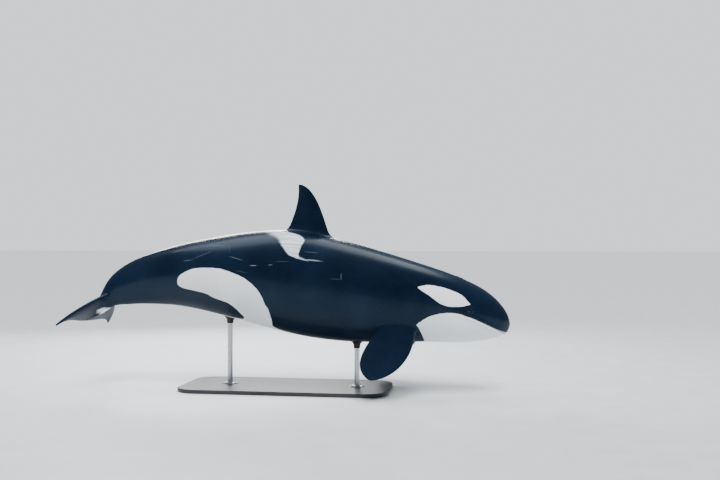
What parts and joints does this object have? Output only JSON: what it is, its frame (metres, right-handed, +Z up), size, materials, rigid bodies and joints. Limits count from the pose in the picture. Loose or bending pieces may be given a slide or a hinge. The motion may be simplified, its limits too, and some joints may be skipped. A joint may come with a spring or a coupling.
{
  "type": "orca",
  "caption": "Life-size orca in a gliding swimming pose, about 5.7 m long, held over a flat display base by two steel rods.",
  "frame": {"origin": "on the floor, under the middle of the whole model with its stand", "axes": "+X toward the head along the animal, +Y to its left side, +Z up"},
  "size_m": [5.7566, 2.0272, 2.6623],
  "materials": {
    "skin_black": "smooth wet-looking blue-black skin, with the white and grey patches painted over it in the render",
    "skin_white": "smooth white skin of the chin and throat",
    "eye": "dark brown glossy eye",
    "stand_base": "satin dark grey plinth plate",
    "stand_steel": "brushed steel rods with round feet"
  },
  "bodies": {
    "root": {"head": "skin_black", "lower_jaw": "skin_white", "chest": "skin_black", "belly": "skin_black", "tail": "skin_black", "dorsal_fin": "skin_black", "flipper_right": "skin_black", "flipper_left": "skin_black", "fluke_right": "skin_black", "fluke_left": "skin_black", "eye_right": "eye", "eye_left": "eye", "stand_base": "stand_base", "stand_rod_front": "stand_steel", "stand_rod_rear": "stand_steel"}
  },
  "joints": []
}
